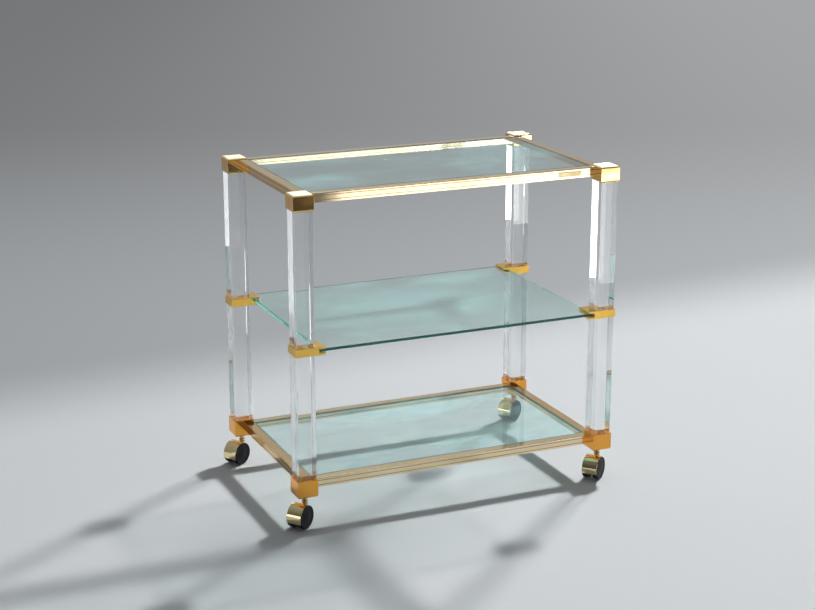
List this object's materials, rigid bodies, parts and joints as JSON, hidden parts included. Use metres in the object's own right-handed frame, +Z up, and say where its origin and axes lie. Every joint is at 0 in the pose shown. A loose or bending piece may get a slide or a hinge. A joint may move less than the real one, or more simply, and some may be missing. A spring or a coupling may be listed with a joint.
{
  "type": "dessert trolley",
  "caption": "Open rectangular serving trolley: flat glass shelves in slim gold rails, square clear posts with gold corner blocks, on hooded casters with twin wheels.",
  "frame": {"origin": "on the floor, under the middle of the space that the trolley takes with its casters as they stand at rest; the middle between the outer faces of the corner blocks lies 13 mm to its right and 10 mm behind it", "axes": "+X along the length, with the plate's end of the front rail towards +X; +Y from the front to the back; +Z up"},
  "size_m": [0.7653, 0.4699, 0.705],
  "materials": {
    "polished_gold": "solid brass, gold plated and polished",
    "yellow_gold": "machined brass, rich yellow gold plate, polished",
    "hood_gold": "cast, gold plated, bright",
    "satin_gold": "extruded, pale champagne gold anodised, satin with fine lengthwise grain",
    "brass_plate": "thin sheet, brushed, bare",
    "clear_acrylic": "clear cast acrylic, flame polished",
    "green_glass": "6 mm float glass, green at the edges, edges bevelled and polished",
    "clear_strip": "clear flexible glazing strip",
    "white_nylon": "white moulded nylon",
    "plated_steel": "turned steel, brass plated",
    "steel": "zinc plated",
    "black_nylon": "black moulded nylon, semi-gloss"
  },
  "bodies": {
    "frame": {"top_corner_front_left": "polished_gold", "post_front_left": "clear_acrylic", "bottom_corner_front_left": "polished_gold", "clip_front_left": "yellow_gold", "stem_front_left": "plated_steel", "top_corner_front_right": "polished_gold", "post_front_right": "clear_acrylic", "bottom_corner_front_right": "polished_gold", "clip_front_right": "yellow_gold", "stem_front_right": "plated_steel", "top_corner_back_left": "polished_gold", "post_back_left": "clear_acrylic", "bottom_corner_back_left": "polished_gold", "clip_back_left": "yellow_gold", "stem_back_left": "plated_steel", "top_corner_back_right": "polished_gold", "post_back_right": "clear_acrylic", "bottom_corner_back_right": "polished_gold", "clip_back_right": "yellow_gold", "stem_back_right": "plated_steel", "top_rail_front": "satin_gold", "top_rail_back": "satin_gold", "top_rail_left": "satin_gold", "top_rail_right": "satin_gold", "top_rail_screws": "steel", "top_glass": "green_glass", "top_glazing_strip": "clear_strip", "bottom_rail_front": "satin_gold", "bottom_rail_back": "satin_gold", "bottom_rail_left": "satin_gold", "bottom_rail_right": "satin_gold", "bottom_rail_screws": "steel", "bottom_glass": "green_glass", "bottom_glazing_strip": "clear_strip", "middle_glass": "green_glass", "name_plate": "brass_plate", "clip_pads": "white_nylon", "clip_screws": "steel"},
    "caster_front_left": {"hood_front_left": "hood_gold", "axle_front_left": "plated_steel"},
    "wheel_a_front_left": {"wheel_a_front_left": "black_nylon"},
    "wheel_b_front_left": {"wheel_b_front_left": "black_nylon"},
    "caster_front_right": {"hood_front_right": "hood_gold", "axle_front_right": "plated_steel"},
    "wheel_a_front_right": {"wheel_a_front_right": "black_nylon"},
    "wheel_b_front_right": {"wheel_b_front_right": "black_nylon"},
    "caster_back_left": {"hood_back_left": "hood_gold", "axle_back_left": "plated_steel"},
    "wheel_a_back_left": {"wheel_a_back_left": "black_nylon"},
    "wheel_b_back_left": {"wheel_b_back_left": "black_nylon"},
    "caster_back_right": {"hood_back_right": "hood_gold", "axle_back_right": "plated_steel"},
    "wheel_a_back_right": {"wheel_a_back_right": "black_nylon"},
    "wheel_b_back_right": {"wheel_b_back_right": "black_nylon"}
  },
  "joints": [
    {"name": "swivel_front_left", "type": "hinge", "parent": "frame", "child": "caster_front_left", "pos_m": [-0.3345, -0.1925, 0.047], "axis": [0, 0, 1], "continuous": true},
    {"name": "roll_a_front_left", "type": "hinge", "parent": "caster_front_left", "child": "wheel_a_front_left", "pos_m": [-0.34208, -0.21365, 0.025], "axis": [0.6157, -0.788, 0], "continuous": true},
    {"name": "roll_b_front_left", "type": "hinge", "parent": "caster_front_left", "child": "wheel_b_front_left", "pos_m": [-0.35686, -0.19474, 0.025], "axis": [0.6157, -0.788, 0], "continuous": true},
    {"name": "swivel_front_right", "type": "hinge", "parent": "frame", "child": "caster_front_right", "pos_m": [0.3605, -0.1925, 0.047], "axis": [0, 0, 1], "continuous": true},
    {"name": "roll_a_front_right", "type": "hinge", "parent": "caster_front_right", "child": "wheel_a_front_right", "pos_m": [0.35366, -0.21391, 0.025], "axis": [0.6428, -0.766, 0], "continuous": true},
    {"name": "roll_b_front_right", "type": "hinge", "parent": "caster_front_right", "child": "wheel_b_front_right", "pos_m": [0.33823, -0.19552, 0.025], "axis": [0.6428, -0.766, 0], "continuous": true},
    {"name": "swivel_back_left", "type": "hinge", "parent": "frame", "child": "caster_back_left", "pos_m": [-0.3345, 0.2125, 0.047], "axis": [0, 0, 1], "continuous": true},
    {"name": "roll_a_back_left", "type": "hinge", "parent": "caster_back_left", "child": "wheel_a_back_left", "pos_m": [-0.34425, 0.19226, 0.025], "axis": [0.5299, -0.848, 0], "continuous": true},
    {"name": "roll_b_back_left", "type": "hinge", "parent": "caster_back_left", "child": "wheel_b_back_left", "pos_m": [-0.35697, 0.21261, 0.025], "axis": [0.5299, -0.848, 0], "continuous": true},
    {"name": "swivel_back_right", "type": "hinge", "parent": "frame", "child": "caster_back_right", "pos_m": [0.3605, 0.2125, 0.047], "axis": [0, 0, 1], "continuous": true},
    {"name": "roll_a_back_right", "type": "hinge", "parent": "caster_back_right", "child": "wheel_a_back_right", "pos_m": [0.35075, 0.19226, 0.025], "axis": [0.5299, -0.848, 0], "continuous": true},
    {"name": "roll_b_back_right", "type": "hinge", "parent": "caster_back_right", "child": "wheel_b_back_right", "pos_m": [0.33803, 0.21261, 0.025], "axis": [0.5299, -0.848, 0], "continuous": true}
  ]
}
